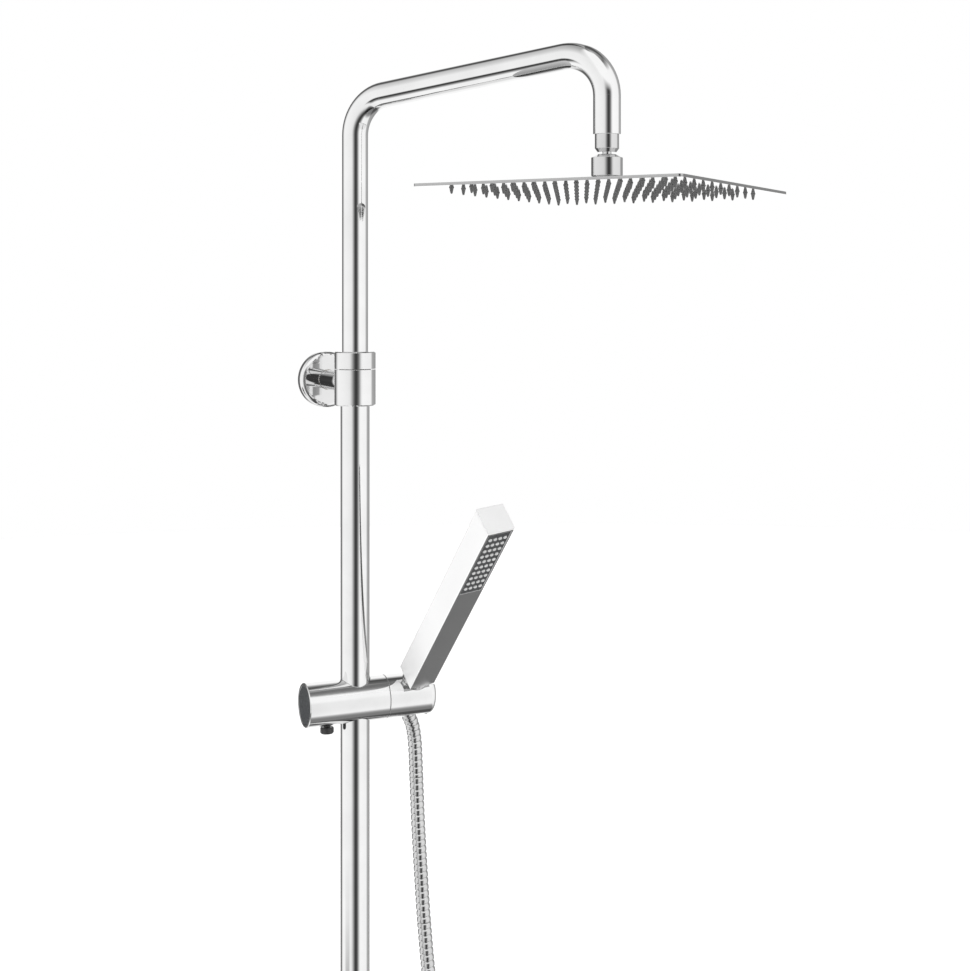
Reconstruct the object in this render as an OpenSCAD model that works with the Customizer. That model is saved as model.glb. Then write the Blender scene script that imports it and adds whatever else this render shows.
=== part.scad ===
// Wall-mounted rainfall shower column: telescopic riser, swivelling overhead arm, square rain
// head on a ball joint, sliding hand-shower holder, stick hand shower, hose and foot diverter.
// +Z is up, the room lies towards -Y and the wall face is the plane Y = 0.
// The origin is the centre of the wall plate on the wall face.

/* [Column] */
// Distance from the wall face to the axis of the riser
rail_to_wall = 96; // [85:1:110]
// Outside diameter of the upper, sliding tube
upper_d = 25; // [24:0.5:25]
// Outside diameter of the lower, fixed tube
lower_d = 28; // [28:0.5:28.5]
// Wall thickness of both tubes
tube_wall = 1.2; // [1:0.1:1.2]
// How far the lower tube reaches below the wall bracket
lower_drop = 900; // [880:10:960]

/* [Arm] */
// Horizontal reach of the arm, riser axis to head axis
arm_reach = 265; // [220:1:400]
// Climb of the arm above the horizontal, in degrees
arm_climb = 7.2; // [4:0.1:12]
// Bend radius of both elbows, on the tube's centreline
elbow_r = 38; // [32:1:40]
// Height above the wall bracket at which the arm leaves the riser
arm_height = 272; // [262:1:320]
// Direction of the arm, in degrees from straight ahead towards +X
arm_azimuth = 38.7; // [0:0.1:60]

/* [Rain head] */
// Side of the square head
head_side = 250; // [240:5:300]
// Thickness of the head at its edge
head_t = 2.5; // [2.5:0.1:4]
// Nozzles along each side
nozzle_rows = 11; // [7:1:11]
// Distance between neighbouring nozzles
nozzle_pitch = 20.1; // [14:0.1:20.5]
// Turn of the head about its own axis, in degrees away from square to the arm
head_turn = -1.6; // [-45:0.1:45]

/* [Slider] */
// Height of the slider's axis relative to the wall bracket
slider_z = -304; // [-304:2:-300]
// Diameter of the slider and of the hand-shower holder
slider_d = 42; // [41:0.5:44]
// How far the slider reaches to the left of the riser axis
slider_left = 50.4; // [48:0.2:52]
// How far the slider's fixed half reaches to the right of the riser axis
slider_right = 28.6; // [27.6:0.2:29]
// How far the holder reaches to the right of the riser axis
holder_right = 76.8; // [76:0.2:80]

/* [Hand shower] */
// Width and depth of the square hand shower
hand_w = 26.4; // [26.4:0.2:28]
// Length of the hand shower's square body
hand_len = 259; // [200:1:265]
// Turn of the hand shower about its own axis, in degrees
hand_roll = 9; // [0:1:30]

/* [Hose] */
// Outside diameter of the hose
hose_d = 14; // [13:0.5:14]

/* [Hidden] */
$fn = 48;
eps = 0.05;                 // running clearance, on a radius
rail_y = -rail_to_wall;     // the riser axis
upper_r = upper_d / 2;
lower_r = lower_d / 2;
lower_bore_r = lower_r - tube_wall;
upper_bore_r = upper_r - tube_wall;

// Wall bracket and telescopic clamp
plate_r = 22;
plate_t = 4;
plate_hole_gap = 30;
cover_r = 28.5;
cover_h = 10.5;
cover_round = 5;            // the rounding between its flat face and its side
stem_r = 9.8;
stem_bite = 3.6;            // how far the stem enters the collar
collar_r = 19.8;
collar_bottom = -20.8;
collar_seam = 14.2;
seam_half = 0.3;             // half the open line between the collar and its ring
ring_top = 31;
collet_r = 15;
rail_top = -6;              // top end of the lower tube, inside the collar
guide_z = -140;             // lower end of the guide sleeve
guide_h = 22;

// Arm: two elbows and the straight tube between them
corner_1 = elbow_r * tan((90 - arm_climb) / 2);
corner_2 = elbow_r * tan((90 + arm_climb) / 2);
arm_end_z = arm_height + arm_reach * tan(arm_climb);
arm_straight = arm_reach / cos(arm_climb) - corner_1 - corner_2;
drop_bottom = arm_height - 44;

// Ball joint, built up from the head's underside
head_z = drop_bottom - 50;
head_top = head_z + head_t;
ball_r = 7.5;
ball_z = head_z + 24.5;
neck_r = 4;
nut_bottom = head_z + 12;
nut_top = head_z + 32;
nut_r = 14.2;
boss_r = 12;
head_corner = 4;

// Slider and holder
shaft_r = 6;
bush_r = lower_r + 2;
bush_half = 12;
holder_left = slider_right + 0.65;
holder_round = 5.5;
socket_x = 57;              // axis of the holder's socket
socket_up = 4.8;            // how far that axis passes above the slider's own
button_x = -28;
button_top = -slider_d / 2 - 1.7;
button_r = 6.4;
cap_r = slider_d / 2 - 2.6;

// Hand shower and hose end, measured along the hand shower from the slider's axis
hand_tilt = 47.7;           // lean from upright, in degrees towards the room
hand_from = 28;
hand_to = hand_from + hand_len;
hand_wall = 1.6;
spray_from = hand_to - 95;
spray_to = hand_to - 4;
spray_w = 22;
tail_r = 10;
nut_cone_top_r = 12.3;
nut_cone_low_r = 10.2;
nut_from = -2;
nut_cone_to = 19;

// Foot of the column
foot_top = -lower_drop + 12;
foot_bottom = -lower_drop - 60;
foot_r = 22;
outlet_x = 46;
outlet_z = foot_bottom + 26;
hose_end_z = foot_bottom - 8;

// Route of the hose's centreline, from the hand shower's cone nut to the diverter's outlet
hose_route = [
    [57, -90.5, -302.5], [57.1, -86.1, -306.6], [57.5, -82, -310.9], [59.8, -74.7, -320.5],
    [63.8, -69, -331], [69.5, -64.9, -342.3], [72.6, -62.5, -354], [74, -61.9, -366],
    [75.2, -62, -396], [76.5, -63.5, -440], [78.5, -66, -490], [80.5, -70, -540],
    [84, -76, -598], [90, -82, -648], [98, -87, -708], [107, -91, -768], [117.5, -94, -828],
    [129, -96, -888], [141, -97.5, -948], [152, -98, -1008], [161, -98, -1068], [168, -98, -1128],
    [172, -98, -1185], [172, -98, -1228], [171, -98, -1263], [166, -98, -1287], [154, -98, -1307],
    [133, -98, -1321], [109, -97, -1326], [85, -97, -1321], [65, -96, -1308], [52, -96, -1287],
    [46, -96, -1263], [46, -96, -1220], [46, -96, -1160], [46, -96, -1100], [46, -96, -1040],
    [46, -96, -990], [46, -96, -962]
];
upper_last = 8;             // the hose's upper stretch ends at this point of the route
middle_last = 11;           // and its middle stretch at this one
route_last = len(hose_route) - 1;
hose_sides = 10;

CHROME = "gainsboro";
DARK = "dimgray";
NYLON = "whitesmoke";
RUBBER = "darkslategray";
BRASS = "goldenrod";

// ---- shared shapes ----

// A round bar or ring from height z0 to z1
module tube(r, z0, z1, bore = 0) {
    difference() {
        translate([0, 0, z0]) cylinder(r = r, h = z1 - z0);
        if (bore > 0) translate([0, 0, z0 - 1]) cylinder(r = bore, h = z1 - z0 + 2);
    }
}

// A cone frustum from height z0 to z1
module taper(r0, r1, z0, z1) {
    translate([0, 0, z0]) cylinder(r1 = r0, r2 = r1, h = z1 - z0);
}

// A square with rounded corners, as an outline
module rounded_square(side, corner) {
    inner = side - 2 * corner;
    square([side, inner], center = true);
    square([inner, side], center = true);
    for (x = [-1, 1], y = [-1, 1]) translate([x * inner / 2, y * inner / 2]) circle(r = corner);
}

// Frames: the riser axis, the arm, the head, the slider's axis and the hand shower
module on_riser() { translate([0, rail_y, 0]) children(); }
module on_arm() { on_riser() rotate([0, 0, arm_azimuth - 90]) children(); }
module on_head() { on_arm() translate([arm_reach, 0, 0]) rotate([0, 0, head_turn]) children(); }
module on_slider() { translate([0, rail_y, slider_z]) rotate([0, 90, 0]) children(); }
module on_hand() {
    translate([socket_x, rail_y, slider_z]) rotate([hand_tilt, 0, 0]) translate([0, socket_up, 0])
        children();
}
module on_hand_rolled() { on_hand() rotate([0, 0, hand_roll]) children(); }

// ---- wall bracket and telescopic clamp ----

module wall_plate() {
    color(BRASS) rotate([90, 0, 0]) difference() {
        union() {
            tube(plate_r, 0, plate_t);
            tube(12, 0, 9);
        }
        translate([0, 0, plate_t]) cylinder(r = stem_r, h = 20);
        for (x = [-1, 1]) translate([x * plate_hole_gap / 2, 0, -1]) cylinder(r = 2.6, h = 10);
        translate([0, 0, 6.5]) rotate([90, 0, 0]) cylinder(r = 2, h = 20);
    }
}

module wall_cover() {
    cover_edge = [
        for (a = [0:15:90])
            [cover_r - cover_round * (1 - cos(a)), cover_h - cover_round * (1 - sin(a))]
    ];
    color(CHROME) rotate([90, 0, 0]) difference() {
        rotate_extrude() polygon(concat([[0, cover_h], [0, 0], [cover_r, 0]], cover_edge));
        translate([0, 0, -1]) cylinder(r = plate_r + 1.5, h = cover_h - 0.4);
        translate([0, 0, -1]) cylinder(r = 12.4, h = 10.4);
        translate([0, 0, -1]) cylinder(r = stem_r + 0.2, h = 30);
    }
}

module bracket_stem() {
    color(CHROME) rotate([90, 0, 0]) difference() {
        tube(stem_r, plate_t, rail_to_wall - collar_r + stem_bite);
        translate([0, 0, 6.5]) rotate([90, 0, 0]) translate([0, 0, 4]) cylinder(r = 2, h = 8);
    }
}

module stem_grub_screw() {
    color(DARK) rotate([90, 0, 0]) translate([0, 0, 6.5]) rotate([90, 0, 0]) difference() {
        translate([0, 0, 4]) cylinder(r = 2, h = 8);
        translate([0, 0, 10]) cylinder(r = 1.1, h = 4, $fn = 6);
    }
}

module collar_body() {
    color(CHROME) on_riser() difference() {
        union() {
            tube(collar_r, collar_bottom + 1, collar_seam - seam_half);
            taper(collar_r - 1, collar_r, collar_bottom, collar_bottom + 1);
        }
        translate([0, 0, collar_bottom - 1]) cylinder(r = lower_r, h = rail_top - collar_bottom + 1);
        translate([0, 0, rail_top - 1]) cylinder(r = upper_r + 0.4, h = 30);
        cylinder(r = collet_r, h = 30);
        rotate([-90, 0, 0]) translate([0, 0, collar_r - stem_bite]) cylinder(r = stem_r, h = 10);
    }
}

module lower_tube() {
    color(CHROME) on_riser() tube(lower_r, -lower_drop, rail_top, lower_bore_r);
}

module lock_ring() {
    color(CHROME) on_riser() difference() {
        union() {
            tube(collar_r, collar_seam + seam_half, ring_top - 1);
            taper(collar_r, collar_r - 1, ring_top - 1, ring_top);
        }
        translate([0, 0, collar_seam - 1]) cylinder(r = collet_r + 0.3, h = ring_top - collar_seam - 3);
        cylinder(r = upper_r + 0.3, h = 40);
    }
}

module clamp_collet() {
    color(NYLON) on_riser() difference() {
        tube(collet_r, 0, ring_top - 4.5, upper_r + 0.06);
        for (a = [45, 135, 225, 315]) rotate([0, 0, a]) translate([10, -0.8, 6]) cube([8, 1.6, 30]);
    }
}

// ---- sliding tube, arm and their guide ----

module guide_sleeve() {
    color(NYLON) on_riser() difference() {
        union() {
            tube(lower_bore_r - eps, guide_z, guide_z + 6);
            tube(upper_bore_r - eps, guide_z + 6, guide_z + guide_h);
        }
        translate([0, 0, guide_z - 1]) cylinder(r = 8, h = guide_h + 2);
        for (z = [2, 4]) translate([0, 0, guide_z + z - 0.5]) tube(20, 0, 1, lower_bore_r - 1);
    }
}

module guide_o_rings() {
    color(RUBBER) on_riser() for (z = [2, 4]) {
        translate([0, 0, guide_z + z - 0.5]) tube(lower_bore_r - 0.02, 0.02, 0.98, lower_bore_r - 1);
    }
}

module elbow(r, from, sweep) {
    rotate([90, 0, 0]) rotate([0, 0, from]) rotate_extrude(angle = sweep)
        translate([elbow_r, 0]) circle(r = r);
}

// The bent tube's shape at radius r; over lengthens its two open ends. The bends are a hair
// thicker than the straights, which run a little way into them.
module arm_shape(r, over) {
    foot = guide_z + 6.1;
    bend = r + 0.02;
    into = 0.4;
    translate([0, 0, foot - over]) cylinder(r = r, h = arm_height - corner_1 - foot + over + into);
    translate([elbow_r, 0, arm_height - corner_1]) elbow(bend, 90 + arm_climb, 90 - arm_climb);
    translate([0, 0, arm_height]) rotate([0, 90 - arm_climb, 0]) translate([0, 0, corner_1 - into])
        cylinder(r = r, h = arm_straight + 2 * into);
    translate([arm_reach - elbow_r, 0, arm_end_z - corner_2]) elbow(bend, 0, 90 + arm_climb);
    translate([arm_reach, 0, drop_bottom - over])
        cylinder(r = r, h = arm_end_z - corner_2 - drop_bottom + over + into);
}

module upper_tube() {
    color(CHROME) on_arm() difference() {
        arm_shape(upper_r, 0);
        arm_shape(upper_bore_r, 1);
    }
}

// ---- ball joint ----

module arm_connector() {
    color(CHROME) on_head() difference() {
        union() {
            tube(10.9, drop_bottom - 12.6, drop_bottom - 0.05);
            taper(8.4, 10.9, drop_bottom - 15.9, drop_bottom - 12.6);
            tube(upper_bore_r - 0.1, drop_bottom - 0.05, drop_bottom + 10);
        }
        translate([0, 0, drop_bottom - 12]) cylinder(r = 8, h = 40);
        translate([0, 0, drop_bottom - 20]) cylinder(r = neck_r, h = 20);
    }
}

module ball_stem() {
    color(CHROME) on_head() difference() {
        union() {
            translate([0, 0, ball_z]) sphere(r = ball_r);
            tube(neck_r, ball_z, drop_bottom - 11.9);
            tube(8, drop_bottom - 11.9, drop_bottom - 1);
        }
        translate([0, 0, ball_z - 20]) cylinder(r = 2.5, h = 80);
    }
}

// A seat ring: a ring with a spherical bore and a spherical outside, so that it can rock
module seat_ring(inner, outer, z0, z1) {
    on_head() intersection() {
        difference() {
            translate([0, 0, ball_z]) sphere(r = outer);
            translate([0, 0, ball_z]) sphere(r = inner);
        }
        translate([0, 0, ball_z + z0]) cylinder(r = 30, h = z1 - z0);
    }
}

module seat_ring_upper() { color(NYLON) seat_ring(ball_r + 0.05, ball_r + 1, -2.5, 4.5); }
module seat_ring_lower() { color(NYLON) seat_ring(ball_r + 1.05, ball_r + 2, -4, 3.5); }

module ball_nut() {
    color(CHROME) on_head() difference() {
        union() {
            taper(nut_r - 1, nut_r, nut_bottom, nut_bottom + 1);
            tube(nut_r, nut_bottom + 1, nut_top - 2.8);
            taper(nut_r, 9.3, nut_top - 2.8, nut_top);
        }
        translate([0, 0, ball_z]) sphere(r = ball_r + 2.05);
        translate([0, 0, ball_z]) cylinder(r = 6.5, h = 20);
        translate([0, 0, nut_bottom - 1]) cylinder(r = boss_r, h = 5.5);
    }
}

module head_inlet_washer() {
    color(RUBBER) on_head() tube(boss_r - 0.5, nut_bottom + 2.5, nut_bottom + 4.5, 6.5);
}

// ---- rain head ----

module head_shell() {
    color(CHROME) on_head() difference() {
        union() {
            translate([0, 0, head_z + 0.9]) linear_extrude(head_t - 0.9) rounded_square(head_side, head_corner);
            taper(34, 22, head_top, head_top + 3);
            tube(20, head_top, nut_bottom - 1.4);
            tube(boss_r - 0.1, nut_bottom - 2, nut_bottom + 2.5);
        }
        translate([0, 0, head_z]) linear_extrude(1.7) rounded_square(head_side - 12, 8);
        translate([0, 0, head_z]) cylinder(r = 6, h = 30);
    }
}

// Places a child at every nozzle of the head
module head_grid() {
    half = (nozzle_rows - 1) / 2;
    on_head() for (i = [-half : half], j = [-half : half])
        translate([i * nozzle_pitch, j * nozzle_pitch, head_z]) children();
}

module head_spray_face() {
    color(CHROME) difference() {
        on_head() translate([0, 0, head_z]) linear_extrude(0.9) rounded_square(head_side, head_corner);
        head_grid() translate([0, 0, -1]) cylinder(r = 1.6, h = 3);
    }
}

module head_nozzles() {
    color(RUBBER) head_grid() rotate_extrude()
        polygon([
            [0, -5.6], [0.6, -5.6], [0.95, -5], [1.5, -2.6], [1.8, -0.9], [2.2, -0.45],
            [2.2, 0], [1.6, 0], [1.6, 0.9], [2.4, 0.9], [2.4, 1.4], [0, 1.4]
        ]);
}

// ---- slider ----

module slider_bush() {
    color(NYLON) on_riser() difference() {
        translate([0, 0, slider_z]) tube(bush_r, -bush_half, bush_half, lower_r + eps);
        translate([-20, -0.5, slider_z - 20]) cube([8, 1, 40]);
    }
}

module slider_body() {
    color(CHROME) difference() {
        on_slider() union() {
            tube(slider_d / 2, -slider_left + 0.6, slider_right);
            taper(slider_d / 2 - 0.6, slider_d / 2, -slider_left, -slider_left + 0.6);
        }
        on_riser() translate([0, 0, slider_z - 30]) cylinder(r = lower_r + 0.4, h = 60);
        on_riser() translate([0, 0, slider_z - bush_half - 0.1])
            cylinder(r = bush_r + eps, h = 2 * bush_half + 0.2);
        on_slider() translate([0, 0, -slider_left - 1]) cylinder(r = cap_r, h = 5);
        on_slider() translate([0, 0, -slider_left - 1]) cylinder(r = 8.1, h = slider_left - 8);
        on_slider() translate([0, 0, 8]) cylinder(r = shaft_r, h = 30);
        translate([button_x, rail_y, slider_z - 30]) cylinder(r = 3.1, h = 28);
    }
}

module slider_end_cap() {
    color(DARK) on_slider() difference() {
        union() {
            taper(cap_r - 0.6, cap_r, -slider_left + 0.2, -slider_left + 0.8);
            tube(cap_r, -slider_left + 0.8, -slider_left + 3.9);
            tube(8, -slider_left + 3.9, -slider_left + 7);
        }
        translate([0, 0, -slider_left + 3]) cylinder(r = 5.5, h = 10);
    }
}

module brake_shoe() {
    color(NYLON) difference() {
        on_slider() union() {
            tube(8, button_x - 6, -bush_r - 0.6);
            tube(3, -slider_left + 8.5, button_x - 6);
        }
        on_riser() translate([0, 0, slider_z - 20]) cylinder(r = bush_r + 0.4, h = 40);
        translate([button_x - 4.6, rail_y - 4, slider_z - 12]) cube([9, 8, 12]);
    }
}

// A compression spring: a round wire along a helix
spring_r = 4.6;
spring_wire = 0.5;
spring_turns = 3.5;
spring_from = -slider_left + 3.6;
spring_to = button_x - 7.5;
spring_steps = 70;
function spring_point(i) =
    let (a = 360 * spring_turns * i / spring_steps)
    [spring_r * cos(a), spring_r * sin(a), spring_from + (spring_to - spring_from) * i / spring_steps];
spring_path = [for (i = [0 : spring_steps]) spring_point(i)];

module brake_spring() {
    color("silver") on_slider() swept_tube(spring_path, 0, spring_steps, spring_wire, 6, [0, 0, 1]);
}

module release_button() {
    color("black") translate([button_x, rail_y, slider_z]) {
        tube(3, button_top - 1, -9);
        difference() {
            union() {
                taper(button_r - 0.8, button_r, button_top - 6, button_top - 5);
                tube(button_r, button_top - 5, button_top - 0.8);
                taper(button_r, button_r - 0.8, button_top - 0.8, button_top);
            }
            for (a = [0 : 30 : 330]) rotate([0, 0, a]) translate([button_r + 0.3, 0, button_top - 9])
                cylinder(r = 0.7, h = 12);
        }
    }
}

module pivot_axle() {
    color(BRASS) on_slider() difference() {
        tube(shaft_r, bush_r + 0.6, 35);
        translate([0, 0, 20]) cylinder(r = 2.5, h = 20);
    }
}

module pivot_washer() {
    color(DARK) on_slider() tube(slider_d / 2 - 0.6, slider_right, slider_right + 0.55, shaft_r);
}

module pivot_screw() {
    color(DARK) on_slider() difference() {
        union() {
            tube(2.5, 21, 35);
            tube(5, 35, 38);
        }
        translate([0, 0, 36.5]) cylinder(r = 1.7, h = 4, $fn = 6);
    }
}

// ---- holder ----

// The room inside the holder in which the hose hangs, from straight behind the socket to
// straight below it at the steepest lean
module hose_room() {
    rotate([90, 0, 0]) rotate([0, 90, 0]) translate([0, 0, -8.5]) linear_extrude(22)
        polygon([[9, 4], [-9, 4], [-34, -8], [-34, -34], [9, -34]]);
}

module holder() {
    color(CHROME) difference() {
        on_slider() union() {
            tube(slider_d / 2, holder_left, holder_right - holder_round);
            translate([0, 0, holder_right - holder_round]) rotate_extrude() {
                square([slider_d / 2 - holder_round, holder_round]);
                translate([slider_d / 2 - holder_round, 0]) intersection() {
                    circle(r = holder_round);
                    square(holder_round);
                }
            }
        }
        on_slider() translate([0, 0, holder_left - 1]) cylinder(r = shaft_r + eps, h = 35.3 - holder_left + 1);
        on_slider() translate([0, 0, 35]) cylinder(r = 5.4, h = 14);
        on_hand() {
            taper(nut_cone_low_r - 0.16, nut_cone_low_r + 2.57, nut_from - 1, 23);
            translate([0, -8, -30]) cube([40, 16, 60]);
            hose_room();
        }
    }
}

// ---- hand shower ----

module hand_shell() {
    color(CHROME) on_hand_rolled() difference() {
        translate([0, 0, hand_from]) linear_extrude(hand_len - 2) rounded_square(hand_w, 1);
        translate([0, 0, hand_from + 3]) linear_extrude(hand_len) rounded_square(hand_w - 2 * hand_wall, 0.6);
        translate([-spray_w / 2, -hand_w / 2 - 1, spray_from]) cube([spray_w, 4, spray_to - spray_from]);
        translate([0, 0, hand_from - 1]) cylinder(r = tail_r, h = 6);
    }
}

module hand_end_cap() {
    color(CHROME) on_hand_rolled() {
        translate([0, 0, hand_to - 2]) linear_extrude(2) rounded_square(hand_w, 1);
        translate([0, 0, hand_to - 6]) linear_extrude(4) rounded_square(hand_w - 2 * hand_wall - 0.1, 0.6);
    }
}

// Places a child at every nozzle of the hand shower, facing away from its spray face
module hand_grid() {
    on_hand_rolled() for (i = [-1.5 : 1.5], j = [0 : 9])
        translate([i * 4.9, -hand_w / 2 + 0.4, spray_to - 8 - j * 8.4]) rotate([90, 0, 0]) children();
}

module hand_spray_plate() {
    color("black") difference() {
        on_hand_rolled() {
            translate([-spray_w / 2 + 0.05, -hand_w / 2 + 0.4, spray_from + 0.05])
                cube([spray_w - 0.1, 1.2, spray_to - spray_from - 0.1]);
            translate([-spray_w / 2 - 0.4, -hand_w / 2 + hand_wall, spray_from - 2])
                cube([spray_w + 0.8, 1.4, hand_to - 6.1 - spray_from + 2]);
        }
        hand_grid() translate([0, 0, -8]) cylinder(r = 1.5, h = 12);
    }
}

module hand_nozzles() {
    color("lightgray") hand_grid() rotate_extrude()
        polygon([
            [0.4, -3.2], [2, -3.2], [2, -2.6], [1.5, -2.6], [1.5, 0], [1.8, 0], [1.4, 0.8], [0.4, 0.8]
        ]);
}

module hand_tail() {
    color(BRASS) on_hand() difference() {
        union() {
            tube(tail_r, 17, hand_from + 5);
            tube(tail_r - 1.5, hand_from + 5, hand_from + 14);
        }
        translate([0, 0, 10]) cylinder(r = 6, h = 60);
    }
}

module hand_core() {
    color(NYLON) on_hand() difference() {
        tube(tail_r, hand_from + 5.1, hand_to - 8, 6.4);
        translate([0, 0, hand_from + 4]) cylinder(r = tail_r - 1.5, h = 10.1);
        rotate([0, 0, hand_roll]) translate([-20, -20 - 8.4, hand_from]) cube([40, 20, hand_len]);
        rotate([0, 0, hand_roll]) translate([-5, -20, spray_from + 6]) cube([10, 18, 70]);
    }
}

// ---- hose and its ends ----

module hose_cone_nut() {
    color(CHROME) on_hand() difference() {
        union() {
            taper(nut_cone_low_r - 0.6, nut_cone_low_r, nut_from, nut_from + 1);
            taper(nut_cone_low_r, nut_cone_top_r, nut_from + 1, nut_cone_to);
            tube(nut_cone_top_r, nut_cone_to, hand_from - 1);
            taper(nut_cone_top_r, nut_cone_top_r - 0.8, hand_from - 1, hand_from - 0.2);
        }
        translate([0, 0, 13]) cylinder(r = tail_r, h = 30);
        translate([0, 0, nut_from - 1]) cylinder(r = 7.6, h = 30);
        for (a = [0 : 15 : 345]) rotate([0, 0, a]) translate([nut_cone_top_r + 0.4, 0, nut_cone_to + 1.8])
            cylinder(r = 0.7, h = hand_from - nut_cone_to - 3.2);
    }
}

module hose_tail() {
    color(BRASS) on_hand() difference() {
        union() {
            tube(7.5, nut_from - 0.9, 13.1);
            tube(9.4, 13.1, 15);
        }
        translate([0, 0, nut_from - 2]) cylinder(r = 4, h = 30);
    }
}

module hose_washer() {
    color(RUBBER) on_hand() tube(9.4, 15, 17, 5);
}

function unit(v) = v / norm(v);
function path_dir(path, i) = unit(path[min(i + 1, len(path) - 1)] - path[max(i - 1, 0)]);
function path_ring(path, i, r, sides, side_dir) =
    let (t = path_dir(path, i), a = unit(cross(t, side_dir)), b = cross(t, a))
    [for (k = [0 : sides - 1]) path[i] + r * (cos(360 * k / sides) * a + sin(360 * k / sides) * b)];

// A round bar along the points first to last of a path; side_dir is never along the path
module swept_tube(path, first, last, r, sides, side_dir) {
    rings = last - first;
    points = [for (i = [first : last]) each path_ring(path, i, r, sides, side_dir)];
    faces = [
        for (i = [0 : rings - 1], k = [0 : sides - 1])
            let (n = (k + 1) % sides)
            [i * sides + k, (i + 1) * sides + k, (i + 1) * sides + n, i * sides + n],
        [for (k = [0 : sides - 1]) k],
        [for (k = [sides - 1 : -1 : 0]) rings * sides + k]
    ];
    polyhedron(points = points, faces = faces);
}

module hose_part(first, last) {
    color("silver") swept_tube(hose_route, first, last, hose_d / 2, hose_sides, [0, 1, 0]);
}

module hose_upper() { hose_part(0, upper_last); }
module hose_middle() { hose_part(upper_last, middle_last); }
module hose_lower() { hose_part(middle_last, route_last); }

// ---- foot of the column ----

module diverter_body() {
    color(CHROME) on_riser() difference() {
        union() {
            tube(foot_r, foot_bottom + 1.5, foot_top - 1.5);
            taper(foot_r - 1.5, foot_r, foot_bottom, foot_bottom + 1.5);
            taper(foot_r, foot_r - 1.5, foot_top - 1.5, foot_top);
            translate([0, 0, outlet_z]) rotate([0, 90, 0]) cylinder(r = 13, h = outlet_x);
            translate([outlet_x, 0, outlet_z]) sphere(r = 13);
            translate([outlet_x, 0, outlet_z - 15]) cylinder(r = 13, h = 15);
            translate([0, 0, outlet_z + 14]) rotate([90, 0, 0]) cylinder(r = 15, h = foot_r + 8);
        }
        translate([0, 0, -lower_drop - 1.5]) cylinder(r = lower_r, h = 40);
        translate([0, 0, -lower_drop - 5]) cylinder(r = lower_bore_r, h = 10);
        translate([0, 0, foot_bottom - 1]) cylinder(r = 10.4, h = 13);
        translate([0, 0, foot_bottom - 1]) cylinder(r = 7, h = 60);
        translate([0, 0, outlet_z]) rotate([0, 90, 0]) cylinder(r = 6, h = outlet_x);
        translate([outlet_x, 0, outlet_z - 30]) cylinder(r = 6, h = 30);
        translate([outlet_x, 0, outlet_z - 16]) cylinder(r = 10.4, h = 11);
        translate([0, 0, outlet_z + 14]) rotate([90, 0, 0]) translate([0, 0, -6])
            cylinder(r = 12, h = foot_r + 30);
    }
}

module diverter_cartridge() {
    color(BRASS) on_riser() translate([0, 0, outlet_z + 14]) rotate([90, 0, 0]) difference() {
        union() {
            tube(12, -5, foot_r + 7);
            tube(8, foot_r + 7, foot_r + 11);
        }
        translate([0, 0, -6]) cylinder(r = 6.5, h = 20);
        translate([0, 0, 12]) cylinder(r = 5.05, h = 50);
    }
}

// The knob: a square block on a round skirt, with its spindle
module diverter_knob() {
    color(CHROME) on_riser() translate([0, 0, outlet_z + 14]) rotate([90, 0, 0]) difference() {
        union() {
            tube(5, 13, foot_r + 14);
            tube(14.5, foot_r + 11.4, foot_r + 17);
            translate([0, 0, foot_r + 17]) linear_extrude(16) rounded_square(19, 2);
        }
        translate([0, 0, foot_r + 11]) tube(12, -1, 3, 5);
        translate([0, 0, foot_r + 24]) rotate([-90, 0, 0]) cylinder(r = 2, h = 20);
    }
}

module knob_grub_screw() {
    color(DARK) on_riser() translate([0, 0, outlet_z + 14]) rotate([90, 0, 0])
        translate([0, 0, foot_r + 24]) rotate([-90, 0, 0]) difference() {
            cylinder(r = 2, h = 8.5);
            translate([0, 0, 6.5]) cylinder(r = 1.1, h = 4, $fn = 6);
        }
}

module inlet_union() {
    color(BRASS) on_riser() difference() {
        union() {
            tube(10.4, foot_bottom - 8, foot_bottom + 12);
            tube(12, foot_bottom - 10, foot_bottom - 8);
        }
        translate([0, 0, foot_bottom - 20]) cylinder(r = 7, h = 40);
    }
}

module inlet_nut() {
    color(CHROME) on_riser() difference() {
        translate([0, 0, foot_bottom - 24]) cylinder(r = 17, h = 21.5, $fn = 6);
        translate([0, 0, foot_bottom - 25]) cylinder(r = 13.15, h = 13);
        translate([0, 0, foot_bottom - 12.5]) cylinder(r = 12.3, h = 4.6);
        translate([0, 0, foot_bottom - 30]) cylinder(r = 10.5, h = 60);
    }
}

module inlet_washer() {
    color(RUBBER) on_riser() tube(12, foot_bottom - 11.7, foot_bottom - 10, 7);
}

module outlet_nipple() {
    color(BRASS) on_riser() translate([outlet_x, 0, 0]) difference() {
        union() {
            tube(10.4, outlet_z - 15, outlet_z - 5);
            tube(10, outlet_z - 26, outlet_z - 15);
        }
        translate([0, 0, outlet_z - 40]) cylinder(r = 6, h = 40);
    }
}

module outlet_washer() {
    color(RUBBER) on_riser() translate([outlet_x, 0, 0]) tube(9.4, outlet_z - 28, outlet_z - 26, 5);
}

module outlet_nut() {
    color(CHROME) on_riser() translate([outlet_x, 0, 0]) difference() {
        union() {
            tube(12.5, hose_end_z + 4, outlet_z - 15.2);
            taper(9.5, 12.5, hose_end_z + 1, hose_end_z + 4);
        }
        translate([0, 0, outlet_z - 28]) cylinder(r = 10, h = 20);
        translate([0, 0, hose_end_z - 1]) cylinder(r = hose_d / 2 + 0.2, h = 20);
    }
}

module foot_seal() {
    color(RUBBER) on_riser() tube(lower_r, -lower_drop - 1.5, -lower_drop, lower_bore_r);
}

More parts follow.
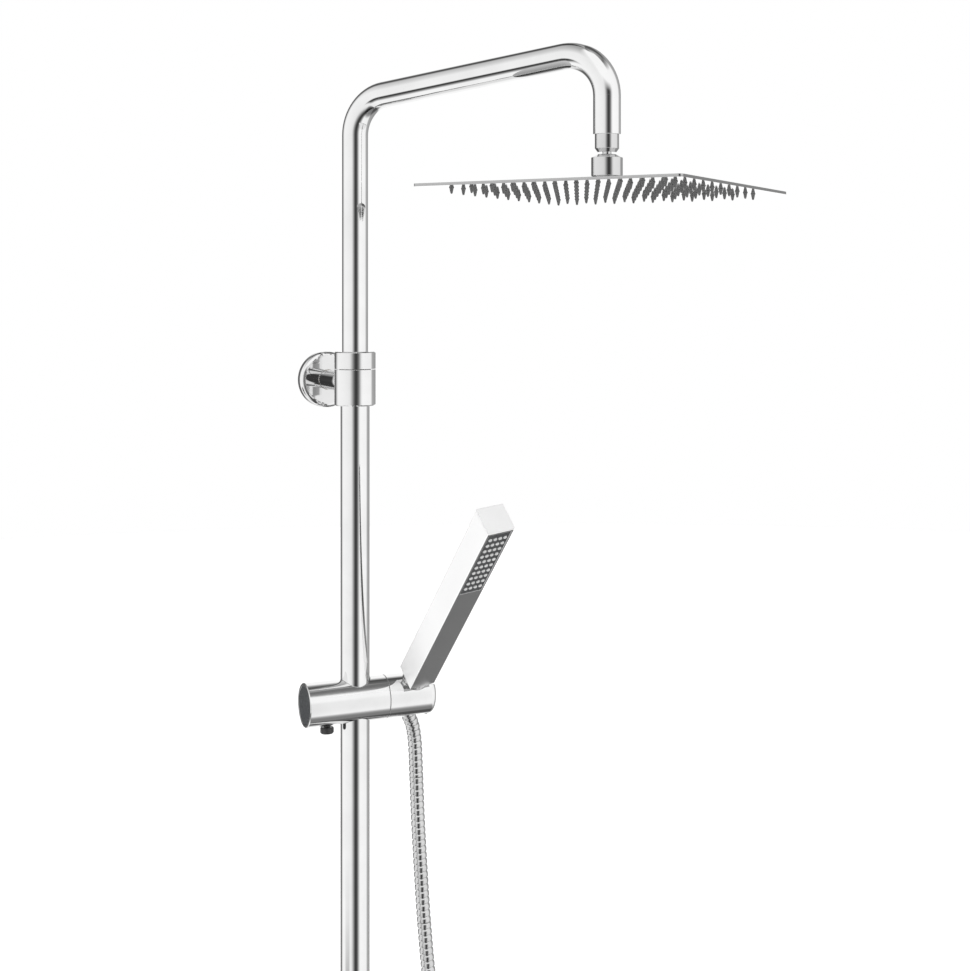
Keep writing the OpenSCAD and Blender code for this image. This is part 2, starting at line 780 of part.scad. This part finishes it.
wall_plate();
wall_cover();
bracket_stem();
stem_grub_screw();
collar_body();
lower_tube();
lock_ring();
clamp_collet();
guide_sleeve();
guide_o_rings();
upper_tube();
arm_connector();
ball_stem();
seat_ring_upper();
seat_ring_lower();
ball_nut();
head_inlet_washer();
head_shell();
head_spray_face();
head_nozzles();
slider_bush();
slider_body();
slider_end_cap();
brake_shoe();
brake_spring();
release_button();
pivot_axle();
pivot_washer();
pivot_screw();
holder();
hand_shell();
hand_end_cap();
hand_spray_plate();
hand_nozzles();
hand_tail();
hand_core();
hose_cone_nut();
hose_tail();
hose_washer();
hose_upper();
hose_middle();
hose_lower();
diverter_body();
diverter_cartridge();
diverter_knob();
knob_grub_screw();
inlet_nut();
inlet_union();
inlet_washer();
outlet_nipple();
outlet_nut();
outlet_washer();
foot_seal();
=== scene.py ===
import math

import bpy
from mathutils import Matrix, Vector


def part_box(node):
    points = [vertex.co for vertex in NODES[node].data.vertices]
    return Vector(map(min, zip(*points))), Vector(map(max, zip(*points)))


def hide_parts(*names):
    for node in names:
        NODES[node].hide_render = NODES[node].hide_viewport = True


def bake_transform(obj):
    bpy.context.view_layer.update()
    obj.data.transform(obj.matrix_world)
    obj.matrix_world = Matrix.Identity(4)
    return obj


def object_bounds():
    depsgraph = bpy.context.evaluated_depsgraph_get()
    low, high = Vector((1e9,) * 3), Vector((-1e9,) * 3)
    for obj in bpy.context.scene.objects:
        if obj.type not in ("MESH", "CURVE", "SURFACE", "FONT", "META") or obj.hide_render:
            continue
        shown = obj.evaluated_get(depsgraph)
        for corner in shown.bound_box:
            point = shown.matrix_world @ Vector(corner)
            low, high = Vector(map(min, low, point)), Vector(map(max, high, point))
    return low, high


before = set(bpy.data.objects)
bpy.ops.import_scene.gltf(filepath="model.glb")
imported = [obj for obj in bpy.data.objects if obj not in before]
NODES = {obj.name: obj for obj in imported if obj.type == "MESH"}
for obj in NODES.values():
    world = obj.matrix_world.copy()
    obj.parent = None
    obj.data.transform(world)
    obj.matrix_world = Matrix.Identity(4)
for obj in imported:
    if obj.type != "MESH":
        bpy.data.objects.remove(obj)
cad_low, cad_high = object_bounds()
scene = bpy.context.scene

# ---- camera: level, on the photograph's side of the riser ----

riser_low, riser_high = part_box("lower_tube")
RISER_X = (riser_low.x + riser_high.x) / 2
RISER_Y = (riser_low.y + riser_high.y) / 2
TURN = 0.4508                      # the camera's heading, from +Y towards +X, in radians
CAMERA_FROM_RISER = (-0.4878, -1.4742)
CAMERA_HEIGHT = 0.0831
camera_data = bpy.data.cameras.new("camera")
camera_data.sensor_width = 36
camera_data.lens = 59.35
camera_data.shift_x = -0.0839
camera_data.shift_y = -0.1939
camera_data.clip_start = 0.05
camera_data.clip_end = 60
camera = bpy.data.objects.new("camera", camera_data)
camera.location = (RISER_X + CAMERA_FROM_RISER[0], RISER_Y + CAMERA_FROM_RISER[1], CAMERA_HEIGHT)
camera.rotation_euler = (math.pi / 2, 0, -TURN)
scene.collection.objects.link(camera)
scene.camera = camera

# ---- the hose: three ribbed stretches, one for each joint that it bends across ----

# The hose's centre line in millimetres, from the hand shower's socket to the foot
ROUTE_MM = [
    (57, -90.5, -302.5), (57.1, -86.1, -306.6), (57.5, -82, -310.9), (59.8, -74.7, -320.5),
    (63.8, -69, -331), (69.5, -64.9, -342.3), (72.6, -62.5, -354), (74, -61.9, -366),
    (75.2, -62, -396), (76.5, -63.5, -440), (78.5, -66, -490), (80.5, -70, -540),
    (84, -76, -598), (90, -82, -648), (98, -87, -708), (107, -91, -768), (117.5, -94, -828),
    (129, -96, -888), (141, -97.5, -948), (152, -98, -1008), (161, -98, -1068), (168, -98, -1128),
    (172, -98, -1185), (172, -98, -1228), (171, -98, -1263), (166, -98, -1287), (154, -98, -1307),
    (133, -98, -1321), (109, -97, -1326), (85, -97, -1321), (65, -96, -1308), (52, -96, -1287),
    (46, -96, -1263), (46, -96, -1220), (46, -96, -1160), (46, -96, -1100), (46, -96, -1040),
    (46, -96, -990), (46, -96, -962),
]
ROUTE = [Vector(p) / 1000 for p in ROUTE_MM]
HOSE_D = 0.014
RIB = 0.0063                       # distance from one rib to the next
HOSE_SIDES = 28
FINE_STEPS = 40                    # steps of the smooth curve between two points of the route


def curve_point(i, t):
    """A point of the smooth curve through the route, between points i and i + 1."""
    last = len(ROUTE) - 1
    a, b = ROUTE[max(i - 1, 0)], ROUTE[i]
    c, d = ROUTE[i + 1], ROUTE[min(i + 2, last)]
    if i == 0:
        a = b + (b - c)
    if i + 2 > last:
        d = c + (c - b)
    reach = (c - b).length
    m0 = (c - a) / ((b - a).length + reach) * reach
    m1 = (d - b) / (reach + (d - c).length) * reach
    h0 = 2 * t ** 3 - 3 * t ** 2 + 1
    h1 = t ** 3 - 2 * t ** 2 + t
    h2 = -2 * t ** 3 + 3 * t ** 2
    h3 = t ** 3 - t ** 2
    return b * h0 + m0 * h1 + c * h2 + m1 * h3


def fine_path(first, last):
    points = [ROUTE[first].copy()]
    for i in range(first, last):
        points += [curve_point(i, k / FINE_STEPS) for k in range(1, FINE_STEPS + 1)]
    return points


def even_path(points, step):
    """The same line, resampled at even distances of about step."""
    total = sum((b - a).length for a, b in zip(points, points[1:]))
    count = max(2, round(total / step))
    out, done, i, here = [points[0].copy()], 0.0, 0, points[0].copy()
    for k in range(1, count):
        target = total * k / count
        while done + (points[i + 1] - here).length < target:
            done += (points[i + 1] - here).length
            i += 1
            here = points[i].copy()
        gap = points[i + 1] - here
        here = here + gap * ((target - done) / gap.length)
        done = target
        out.append(here.copy())
    out.append(points[-1].copy())
    return out, total


# One rib's outline along the hose: shares of the hose's radius, from groove to groove
RIB_SHAPE = [0.84, 0.94, 0.98, 0.995, 1.0, 0.995, 0.98, 0.94]


def hose_mesh(name, first, last):
    """One stretch of ribbed hose, between two points of the route."""
    centres, total = even_path(fine_path(first, last), RIB / len(RIB_SHAPE))
    turns = [(centres[min(i + 1, len(centres) - 1)] - centres[max(i - 1, 0)]).normalized()
             for i in range(len(centres))]
    across = Vector((0, 1, 0)).cross(turns[0]).normalized()
    verts, faces = [], []
    for i, (p, t) in enumerate(zip(centres, turns)):
        across = (across - t * across.dot(t)).normalized()
        up = t.cross(across)
        r = HOSE_D / 2 * RIB_SHAPE[i % len(RIB_SHAPE)]
        for k in range(HOSE_SIDES):
            a = 2 * math.pi * k / HOSE_SIDES
            verts.append(p + (across * math.cos(a) + up * math.sin(a)) * r)
    rings = len(centres)
    for i in range(rings - 1):
        for k in range(HOSE_SIDES):
            n = (k + 1) % HOSE_SIDES
            faces.append((i * HOSE_SIDES + k, i * HOSE_SIDES + n,
                          (i + 1) * HOSE_SIDES + n, (i + 1) * HOSE_SIDES + k))
    faces.append(tuple(range(HOSE_SIDES))[::-1])
    faces.append(tuple((rings - 1) * HOSE_SIDES + k for k in range(HOSE_SIDES)))
    mesh = bpy.data.meshes.new(name)
    mesh.from_pydata([tuple(v) for v in verts], [], faces)
    mesh.validate()
    for polygon in mesh.polygons:
        polygon.use_smooth = len(polygon.vertices) == 4
    piece = bpy.data.objects.new(name, mesh)
    scene.collection.objects.link(piece)
    return piece, centres, total


# Name, CAD node, first and last point of the route, the two bodies it joins, and where it blends
hoses = []
for name, node, first, last, body, next_body, start, end in [
    ("ribbed_hose_upper", "hose_upper", 0, 8, "slider", "holder", ROUTE[6], ROUTE[1]),
    ("ribbed_hose_middle", "hose_middle", 8, 11, "bush", "slider",
     Vector((0, RISER_Y, ROUTE[11].z)), Vector((0, RISER_Y, ROUTE[8].z))),
    ("ribbed_hose_lower", "hose_lower", 11, 38, "root", "bush",
     Vector((0, RISER_Y, -0.86)), Vector((0.1848, RISER_Y, -0.7676))),
]:
    piece, centres, total = hose_mesh(name, first, last)
    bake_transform(piece)
    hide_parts(node)
    hoses.append(piece)

# ---- materials ----


def srgb(v):
    v /= 255
    return v / 12.92 if v <= 0.04045 else ((v + 0.055) / 1.055) ** 2.4


def grey(v, warm=0.0):
    return (srgb(v + warm), srgb(v), srgb(v - warm), 1)


class Surface:
    """A Principled material with small helpers for its nodes."""

    def __init__(self, name):
        self.material = bpy.data.materials.new(name)
        self.material.use_nodes = True
        self.tree = self.material.node_tree
        self.shader = next(n for n in self.tree.nodes if n.type == "BSDF_PRINCIPLED")
        self.place = self.node("ShaderNodeTexCoord").outputs["Object"]

    def node(self, kind, **settings):
        n = self.tree.nodes.new(kind)
        for key, value in settings.items():
            setattr(n, key, value)
        return n

    def link(self, a, b):
        self.tree.links.new(a, b)

    def stretched(self, scale):
        n = self.node("ShaderNodeMapping")
        n.inputs["Scale"].default_value = scale
        self.link(self.place, n.inputs["Vector"])
        return n.outputs["Vector"]

    def noise(self, scale, detail=3, rough=0.5, vector=None):
        n = self.node("ShaderNodeTexNoise")
        n.inputs["Scale"].default_value = scale
        n.inputs["Detail"].default_value = detail
        n.inputs["Roughness"].default_value = rough
        self.link(vector or self.place, n.inputs["Vector"])
        return n.outputs["Fac"]

    def ramp(self, value, low, high, out_low, out_high):
        n = self.node("ShaderNodeMapRange")
        n.inputs["From Min"].default_value = low
        n.inputs["From Max"].default_value = high
        n.inputs["To Min"].default_value = out_low
        n.inputs["To Max"].default_value = out_high
        self.link(value, n.inputs["Value"])
        return n.outputs["Result"]

    def mix(self, factor, a, b):
        n = self.node("ShaderNodeMix", data_type="RGBA")
        n.inputs[6].default_value = a
        n.inputs[7].default_value = b
        self.link(factor, n.inputs[0])
        return n.outputs[2]

    def bump(self, height, strength, distance, normal=None):
        n = self.node("ShaderNodeBump")
        n.inputs["Strength"].default_value = strength
        n.inputs["Distance"].default_value = distance
        self.link(height, n.inputs["Height"])
        if normal is not None:
            self.link(normal, n.inputs["Normal"])
        return n.outputs["Normal"]

    def rounded(self, radius):
        n = self.node("ShaderNodeBevel", samples=4)
        n.inputs["Radius"].default_value = radius
        return n.outputs["Normal"]

    def facing(self, axis):
        """How squarely a face looks along one of the object's axes, 0 to 1."""
        split = self.node("ShaderNodeSeparateXYZ")
        self.link(self.node("ShaderNodeTexCoord").outputs["Normal"], split.inputs[0])
        size = self.node("ShaderNodeMath", operation="ABSOLUTE")
        self.link(split.outputs[axis], size.inputs[0])
        return self.ramp(size.outputs[0], 0.5, 0.7, 0, 1)

    def blend(self, factor, a, b):
        """Mix of two colours, each a node's output."""
        n = self.node("ShaderNodeMix", data_type="RGBA")
        self.link(factor, n.inputs[0])
        self.link(a, n.inputs[6])
        self.link(b, n.inputs[7])
        return n.outputs[2]

    def set(self, name, value):
        self.shader.inputs[name].default_value = value

    def feed(self, name, output):
        self.link(output, self.shader.inputs[name])


def chrome(name, light=236, rough=(0.02, 0.07), edge=0.0004, grain=None, grain_depth=0.000004,
           metal=1.0, cut_edge=None, painted_light_sides=None):
    """Plated and polished metal: faint smears, a trace of polishing grain, softened edges.

    cut_edge is the grey of a sheet's sheared edge; the last argument is how metallic two sides are that
    get painted light: a paler colour standing in for the bright light they mirror.
    """
    s = Surface(name)
    smear = s.noise(26, 4, 0.6)
    colour = s.mix(s.ramp(smear, 0.35, 0.7, 0, 1), grey(light), grey(light - 7))
    s.set("Metallic", metal)
    if cut_edge:
        # The sheared edge of the sheet is darker than its polished faces
        colour = s.blend(s.facing(2), s.mix(smear, grey(cut_edge), grey(cut_edge - 8)), colour)
    if painted_light_sides:
        # Painted light: the two long sides are painted paler and less metallic, standing in for the
        # bright light they mirror
        colour = s.blend(s.facing(0), colour, s.mix(smear, grey(252), grey(248)))
        s.feed("Metallic", s.ramp(s.facing(0), 0, 1, metal, painted_light_sides))
    s.feed("Base Color", colour)
    fine = s.noise(900, 2, 0.5, s.stretched(grain) if grain else None)
    both = s.node("ShaderNodeMath", operation="MULTIPLY")
    s.link(smear, both.inputs[0])
    s.link(fine, both.inputs[1])
    s.feed("Roughness", s.ramp(both.outputs[0], 0.12, 0.42, rough[0], rough[1]))
    s.feed("Normal", s.bump(fine, 0.25, grain_depth, s.rounded(edge)))
    return s.material


def plastic(name, light, rough, warm=0.0):
    """Moulded plastic: a fine mould texture and slight colour change."""
    s = Surface(name)
    patch = s.noise(60, 3, 0.55)
    patches = s.ramp(patch, 0.3, 0.7, 0, 1)
    s.feed("Base Color", s.mix(patches, grey(light, warm), grey(light * 0.9, warm)))
    fine = s.noise(1400, 2, 0.6)
    s.feed("Roughness", s.ramp(fine, 0.3, 0.7, rough - 0.06, rough + 0.08))
    s.feed("Normal", s.bump(fine, 0.35, 0.00002, s.rounded(0.0004)))
    return s.material


def rubber(name, light, rough=0.55):
    """Moulded silicone or rubber: matt, with a dusty bloom."""
    s = Surface(name)
    bloom = s.noise(220, 5, 0.7)
    s.feed("Base Color", s.mix(s.ramp(bloom, 0.35, 0.75, 0, 1), grey(light), grey(light + 14)))
    s.feed("Roughness", s.ramp(bloom, 0.3, 0.7, rough - 0.1, rough + 0.12))
    s.feed("Normal", s.bump(s.noise(2600, 2), 0.3, 0.00002))
    return s.material


def turned(name, colour, dark, rough=0.22):
    """Turned metal: fine tool rings and slight tarnish."""
    s = Surface(name)
    rings = s.node("ShaderNodeTexWave", wave_type="BANDS", bands_direction="Z")
    rings.inputs["Scale"].default_value = 900
    rings.inputs["Distortion"].default_value = 0.4
    s.link(s.place, rings.inputs["Vector"])
    tarnish = s.noise(120, 4, 0.65)
    s.feed("Base Color", s.mix(s.ramp(tarnish, 0.35, 0.75, 0, 1), colour, dark))
    s.set("Metallic", 1.0)
    s.feed("Roughness", s.ramp(tarnish, 0.3, 0.7, rough, rough + 0.2))
    s.feed("Normal", s.bump(rings.outputs["Fac"], 0.3, 0.00001, s.rounded(0.0002)))
    return s.material


CHROME_TUBE = chrome("chrome_tube", 238, (0.015, 0.045), 0.0003, (1, 1, 0.06))
CHROME_CAST = chrome("chrome_cast", 236, (0.02, 0.06), 0.0006)
# The nuts' chrome is the plain chrome darkened: painted shade standing in for the darker reflections of
# the small nuts
CHROME_NUT = chrome("chrome_nut", 216, (0.02, 0.06), 0.0005)
CHROME_SHEET = chrome("chrome_sheet", 236, (0.03, 0.08), 0.0003, (1, 0.05, 1), cut_edge=186)
# The hand shower's chrome: its two long sides carry painted light, and its darker base is painted shade
# for the darker reflections of its front and back
CHROME_HAND = chrome("chrome_hand", 218, (0.20, 0.27), 0.0008, (0.3, 0.3, 0.05), painted_light_sides=0.15)
# The end cap's chrome is near-white and barely metallic: painted light, its pale colour standing in for
# a bright reflection where it would mirror the grey ceiling
CHROME_END = chrome("chrome_end", 236, (0.30, 0.38), 0.0008, metal=0.1)
CAP = plastic("smoked_cap", 74, 0.22, -2)
KNOB = plastic("black_knob", 50, 0.3)
PLATE = plastic("spray_plate", 68, 0.24, -1)
NYLON = plastic("nylon", 214, 0.45, 2)
WASHER = plastic("dark_nylon", 70, 0.4)
NOZZLE = rubber("rain_nozzle", 94, 0.5)
HAND_NOZZLE = rubber("hand_nozzle", 194, 0.45)
SEAL = rubber("seal_rubber", 38)
BRASS = turned("brass", (0.72, 0.53, 0.24, 1), (0.5, 0.34, 0.14, 1))
STEEL = turned("steel", grey(170), grey(140), 0.3)
SPRING = turned("spring_wire", grey(180), grey(150), 0.25)
HOSE = chrome("hose_metal", 212, (0.12, 0.22), 0.0001, None, 0.000004)

USES = [
    (CHROME_TUBE, ["upper_tube", "lower_tube"]),
    (CHROME_CAST, ["wall_cover", "bracket_stem", "collar_body", "lock_ring", "slider_body", "holder",
                   "diverter_body", "diverter_knob"]),
    (CHROME_NUT, ["arm_connector", "ball_stem", "ball_nut", "hose_cone_nut", "inlet_nut", "outlet_nut"]),
    (CHROME_SHEET, ["head_shell", "head_spray_face"]),
    (CHROME_HAND, ["hand_shell"]),
    (CHROME_END, ["hand_end_cap"]),
    (CAP, ["slider_end_cap"]),
    (KNOB, ["release_button"]),
    (PLATE, ["hand_spray_plate"]),
    (NYLON, ["clamp_collet", "guide_sleeve", "seat_ring_upper", "seat_ring_lower", "slider_bush",
             "brake_shoe", "hand_core"]),
    (WASHER, ["pivot_washer"]),
    (NOZZLE, ["head_nozzles"]),
    (HAND_NOZZLE, ["hand_nozzles"]),
    (SEAL, ["guide_o_rings", "head_inlet_washer", "hose_washer", "inlet_washer", "outlet_washer",
            "foot_seal"]),
    (BRASS, ["wall_plate", "pivot_axle", "hand_tail", "hose_tail", "diverter_cartridge", "inlet_union",
             "outlet_nipple"]),
    (STEEL, ["stem_grub_screw", "pivot_screw", "knob_grub_screw"]),
    (SPRING, ["brake_spring"]),
]
for material, names in USES:
    for name in names:
        slots = NODES[name].data.materials
        slots.clear()
        slots.append(material)
for piece in hoses:
    piece.data.materials.append(HOSE)

# ---- plain studio: a pale floor, white to the camera; the chrome mirrors a room of pale walls,
# a grey ceiling, one dark flag in front and one dark batten on the left ----

FLOOR_GAP = 0.03                   # from the hose's lowest point to the floor
bpy.ops.mesh.primitive_circle_add(vertices=96, radius=9, fill_type="NGON",
                                  location=(0, -0.5, cad_low.z - FLOOR_GAP))
floor = bpy.context.object
floor.name = "floor"
floor.visible_glossy = False
paint = Surface("floor_paint")
cloud = paint.ramp(paint.noise(1.5, 4), 0.3, 0.7, 0, 1)
paint.feed("Base Color", paint.mix(cloud, (0.86, 0.86, 0.86, 1), (0.83, 0.83, 0.83, 1)))
paint.set("Roughness", 0.9)
paint.set("Specular IOR Level", 0.1)
paint.set("Emission Color", (1, 1, 1, 1))
paint.set("Emission Strength", 0.55)
floor.data.materials.append(paint.material)

world = bpy.data.worlds.new("studio")
scene.world = world
world.use_nodes = True
tree = world.node_tree
tree.nodes.clear()


def world_node(kind, **settings):
    n = tree.nodes.new(kind)
    for key, value in settings.items():
        setattr(n, key, value)
    return n


def world_math(operation, *values):
    n = world_node("ShaderNodeMath", operation=operation)
    for i, v in enumerate(values):
        if isinstance(v, (int, float)):
            n.inputs[i].default_value = v
        else:
            tree.links.new(v, n.inputs[i])
    return n.outputs[0]


def world_ramp(value, stops):
    """Greys along a value; the stops are in order."""
    n = world_node("ShaderNodeValToRGB")
    e = n.color_ramp.elements
    for position, light in stops[2:]:
        e.new(position)
    for i, (position, light) in enumerate(stops):
        e[i].position = position
        e[i].color = (light, light, light, 1)
    tree.links.new(value, n.inputs["Fac"])
    return n.outputs["Color"]


def in_place_of(first, second, share):
    """The second colour laid over the first, as far as share says."""
    n = world_node("ShaderNodeMix", data_type="RGBA")
    tree.links.new(share, n.inputs[0])
    tree.links.new(first, n.inputs[6])
    tree.links.new(second, n.inputs[7])
    return n.outputs[2]


def times(first, second):
    n = world_node("ShaderNodeMix", data_type="RGBA", blend_type="MULTIPLY")
    n.inputs[0].default_value = 1.0
    tree.links.new(first, n.inputs[6])
    tree.links.new(second, n.inputs[7])
    return n.outputs[2]


def at(degrees):
    """A heading's place on a ramp: 0 degrees towards the camera, 90 to its right."""
    return 0.5 + degrees / 360


def lift(degrees):
    """A height's place on a ramp: 0 degrees at eye level, 90 overhead."""
    return 0.5 + degrees / 180


coords = world_node("ShaderNodeTexCoord").outputs["Generated"]
axes = world_node("ShaderNodeSeparateXYZ")
tree.links.new(coords, axes.inputs[0])
x, y, z = axes.outputs
toward = (-math.sin(TURN), -math.cos(TURN))
right = (math.cos(TURN), -math.sin(TURN))
ahead = world_math("ADD", world_math("MULTIPLY", x, toward[0]), world_math("MULTIPLY", y, toward[1]))
aside = world_math("ADD", world_math("MULTIPLY", x, right[0]), world_math("MULTIPLY", y, right[1]))
# 0 straight behind the object on the left, 0.5 at the camera, 1 straight behind on the right
heading = world_math("ADD", world_math("DIVIDE", world_math("ARCTAN2", aside, ahead), 2 * math.pi), 0.5)
climb = world_math("ADD", world_math("DIVIDE", world_math("ARCSINE", z), math.pi), 0.5)

round_room = world_ramp(heading, [
    (at(-180), 1.0), (at(-168), 1.0), (at(-157), 0.25), (at(-148), 0.12), (at(-129), 0.12),
    (at(-121), 0.40), (at(-111), 0.80), (at(-100), 1.0), (at(-60), 0.96), (at(-34), 0.92),
    (at(-22), 0.85), (at(-15), 0.66), (at(-7), 0.38), (at(1), 0.15), (at(9), 0.045),
    (at(18), 0.05), (at(27), 0.18), (at(35), 0.50), (at(41), 0.84), (at(50), 1.0),
    (at(105), 0.95), (at(118), 0.42), (at(150), 0.34), (at(164), 0.31), (at(171), 1.0),
    (at(180), 1.0)])
up_down = world_ramp(climb, [
    (lift(-90), 0.26), (lift(-74), 0.22), (lift(-64), 0.22), (lift(-56), 0.36), (lift(-46), 0.95),
    (lift(0), 1.0), (lift(44), 1.0), (lift(52), 0.5), (lift(60), 0.18), (lift(67), 0.28),
    (lift(76), 0.40), (lift(90), 0.46)])
# The left of the room, which the arm mirrors, is pale below and grey above
left_up_down = world_ramp(climb, [
    (lift(-90), 0.90), (lift(-50), 1.0), (lift(26), 0.95), (lift(50), 0.64), (lift(72), 0.42),
    (lift(90), 0.38)])
on_left = world_ramp(heading, [
    (at(-180), 0), (at(-151), 0), (at(-141), 1), (at(-30), 1), (at(-18), 0), (at(180), 0)])
# One dark batten there, below eye level
batten = world_ramp(climb, [
    (lift(-90), 1.0), (lift(-52), 1.0), (lift(-45), 0.52), (lift(-39), 0.2), (lift(-33), 0.05),
    (lift(-26.5), 0.04), (lift(-24), 0.32), (lift(-21.5), 0.82), (lift(-19), 1.0), (lift(90), 1.0)])
behind_batten = world_ramp(heading, [
    (at(-180), 0), (at(-84), 0), (at(-66), 1), (at(-42), 1), (at(-34), 0), (at(180), 0)])
white = world_node("ShaderNodeRGB").outputs[0]
white.default_value = (1, 1, 1, 1)
height = times(in_place_of(up_down, left_up_down, on_left), in_place_of(white, batten, behind_batten))
# The lower left behind is pale too: the arm's underside mirrors it
behind_left = world_ramp(heading, [
    (at(-180), 0.3), (at(-174), 0.75), (at(-98), 0.75), (at(-88), 0), (at(180), 0)])
below = world_ramp(climb, [(lift(-90), 1.0), (lift(-36), 1.0), (lift(-24), 0), (lift(90), 0)])
# The dark flag in front of the column ends above eye level
in_front = world_ramp(heading, [
    (at(-180), 0), (at(-40), 0), (at(-24), 1), (at(44), 1), (at(54), 0), (at(180), 0)])
above_flag = world_ramp(climb, [
    (lift(-90), 0), (lift(12), 0), (lift(24), 1), (lift(74), 1), (lift(84), 0), (lift(90), 0)])
room = in_place_of(times(round_room, height), white, times(behind_left, below))
room = in_place_of(room, white, times(in_front, above_flag))
# The camera itself sees plain white behind the column
studio = world_node("ShaderNodeBackground")
studio.inputs["Strength"].default_value = 1.12
tree.links.new(room, studio.inputs["Color"])
plain = world_node("ShaderNodeBackground")
plain.inputs["Color"].default_value = (1, 1, 1, 1)
plain.inputs["Strength"].default_value = 1.0
pick = world_node("ShaderNodeMixShader")
path = world_node("ShaderNodeLightPath")
tree.links.new(path.outputs["Is Camera Ray"], pick.inputs[0])
tree.links.new(studio.outputs[0], pick.inputs[1])
tree.links.new(plain.outputs[0], pick.inputs[2])
out = world_node("ShaderNodeOutputWorld")
tree.links.new(pick.outputs[0], out.inputs["Surface"])

LAMP_AIM = Vector((0.05, -0.15, -0.3))
for name, place, size, power in [
    ("key", (-2.2, -2.6, 2.0), 1.6, 40),
    ("fill", (2.4, -2.0, 0.4), 1.8, 16),
]:
    lamp = bpy.data.lights.new(name, "AREA")
    lamp.shape = "DISK"
    lamp.size = size
    lamp.energy = power
    stand = bpy.data.objects.new(name, lamp)
    stand.location = place
    stand.rotation_euler = (LAMP_AIM - Vector(place)).to_track_quat("-Z", "Y").to_euler()
    stand.visible_glossy = False
    scene.collection.objects.link(stand)

scene.view_settings.view_transform = "Standard"
scene.view_settings.look = "None"
